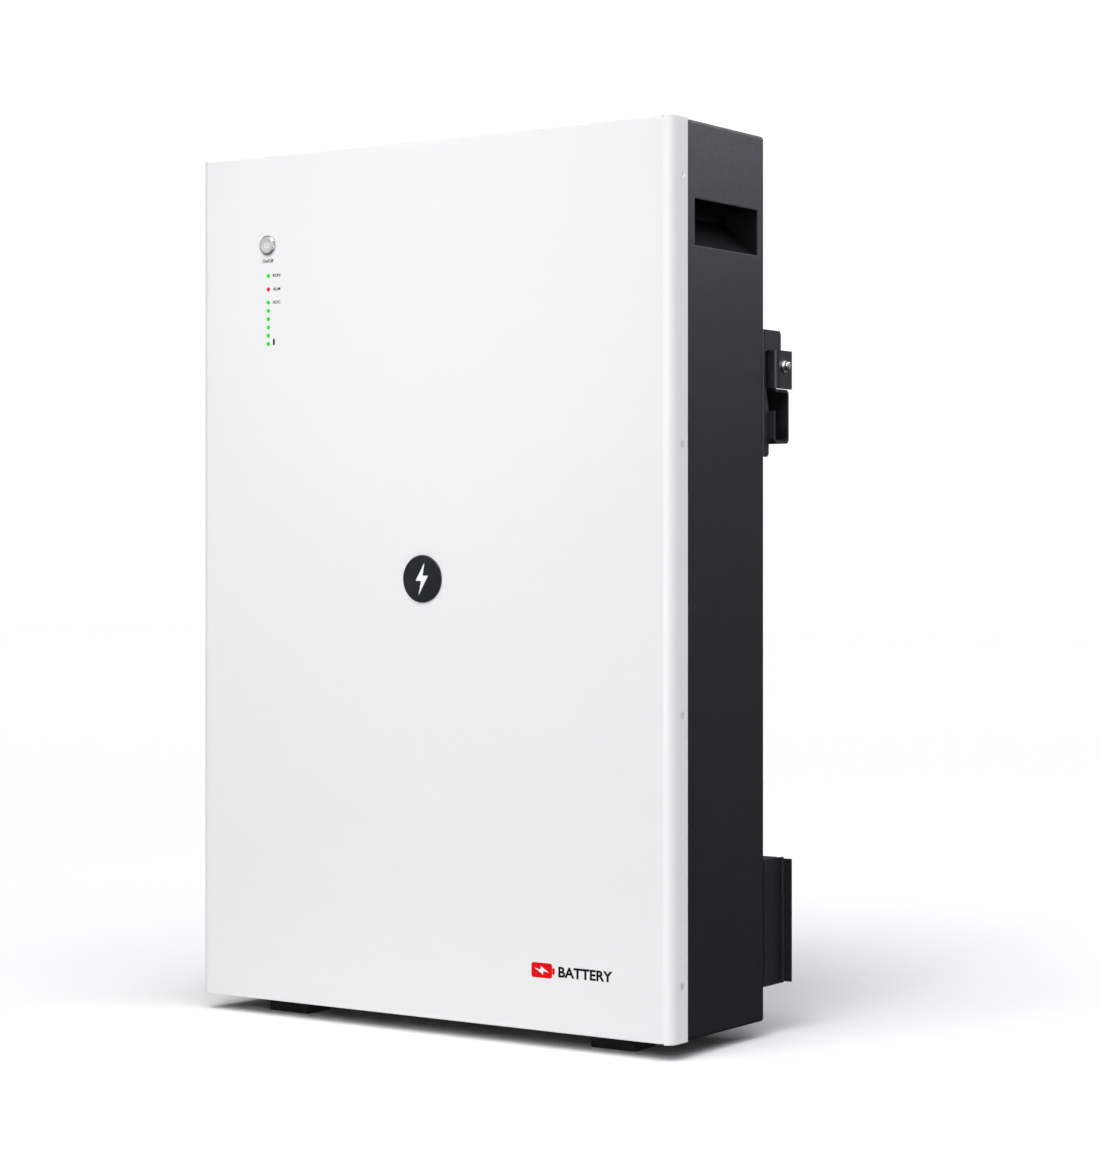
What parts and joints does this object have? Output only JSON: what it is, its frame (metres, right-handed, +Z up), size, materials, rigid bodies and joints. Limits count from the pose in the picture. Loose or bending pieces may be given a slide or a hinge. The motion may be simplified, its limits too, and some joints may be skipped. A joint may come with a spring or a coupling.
{
  "type": "wall battery unit",
  "caption": "Upright steel home battery with a white front cover, status lights, push switch, side hand recesses, short feet, a lift-off wall rail and a lower stand-off bracket.",
  "frame": {"origin": "middle of the whole unit's bounding box, on the floor under the feet", "axes": "+Z up, +Y from the front cover towards the wall, +X to the right as seen from the front"},
  "size_m": [0.628, 0.224, 0.917],
  "materials": {
    "white_coat": "fine-textured white powder coat, satin",
    "black_coat": "fine-textured black powder coat, satin",
    "foam": "closed-cell foam, matte",
    "stainless": "turned stainless steel",
    "zinc": "zinc-plated steel",
    "gloss_black": "glossy, slightly domed",
    "led_green": "translucent green light pipe, lit",
    "led_red": "translucent red light pipe, lit",
    "circuit_board": "glass-epoxy board, solder mask",
    "black_moulding": "fine-grained moulding, matte",
    "pale_moulding": "moulded, satin",
    "orange_moulding": "moulded, satin",
    "clear_sheet": "clear polycarbonate sheet",
    "cell_can": "aluminium can in blue insulating film",
    "bare_aluminium": "bare, satin",
    "copper": "tinned copper strip, bare",
    "brass": "turned brass",
    "silvered_copper": "silver-plated copper"
  },
  "bodies": {
    "cabinet": {"enclosure": "black_coat", "front_cover": "white_coat", "cover_gasket": "foam", "cover_screws": "stainless", "cover_nuts": "zinc", "handle_cup_left": "black_coat", "handle_cup_right": "black_coat", "badge_disc": "gloss_black", "switch_housing": "stainless", "switch_nut": "stainless", "switch_spring": "zinc", "led_lenses_green": "led_green", "led_lens_red": "led_red", "led_board": "circuit_board", "board_studs": "zinc", "feet_front": "black_moulding", "feet_rear": "black_moulding", "foot_screws": "stainless", "ear_left": "black_coat", "ear_right": "black_coat", "ear_bolts": "zinc", "lower_bracket": "black_coat", "lower_bracket_bolts": "zinc", "weld_nuts": "zinc", "cells_row_1": "cell_can", "cells_row_2": "cell_can", "cells_row_3": "cell_can", "cells_row_4": "cell_can", "cell_posts": "bare_aluminium", "cell_bolts": "zinc", "cell_busbars": "copper", "row_links": "copper", "cell_trays": "zinc", "module_end_plates": "bare_aluminium", "module_straps": "stainless", "busbar_covers": "clear_sheet", "electronics_plate": "zinc", "standoffs": "brass", "bms_board": "circuit_board", "bms_components": "black_moulding", "bms_heatsink": "bare_aluminium", "main_fuse": "pale_moulding", "current_shunt": "brass", "connection_pan": "black_coat", "breaker_body": "pale_moulding", "breaker_pin": "stainless", "positive_sockets": "orange_moulding", "negative_sockets": "black_moulding", "socket_contacts": "silvered_copper", "data_ports": "black_moulding", "ground_stud": "brass", "vent_valve": "black_moulding", "positive_cable": "orange_moulding", "negative_cable": "black_moulding"},
    "button": {"power_button": "stainless"},
    "lever": {"breaker_lever": "black_moulding"},
    "reset": {"reset_button": "pale_moulding"},
    "rail": {"wall_rail": "black_coat", "lock_screws": "stainless", "lock_washers": "stainless"}
  },
  "joints": [
    {"name": "power_press", "type": "slide", "parent": "cabinet", "child": "button", "axis": [0, 1, 0], "range_m": [0, 0.003], "stiffness_N_per_m": 600, "springref_m": -0.002},
    {"name": "breaker_toggle", "type": "hinge", "parent": "cabinet", "child": "lever", "pos_m": [-0.262, -0.041, 0.728], "axis": [0, 1, 0], "range_deg": [-50, 0]},
    {"name": "reset_press", "type": "slide", "parent": "cabinet", "child": "reset", "axis": [1, 0, 0], "range_m": [0, 0.0005], "stiffness_N_per_m": 1500, "springref_m": -0.0005},
    {"name": "rail_lift_off", "type": "slide", "parent": "cabinet", "child": "rail", "axis": [0, 0, 1], "range_m": [-0.03, 0]}
  ]
}
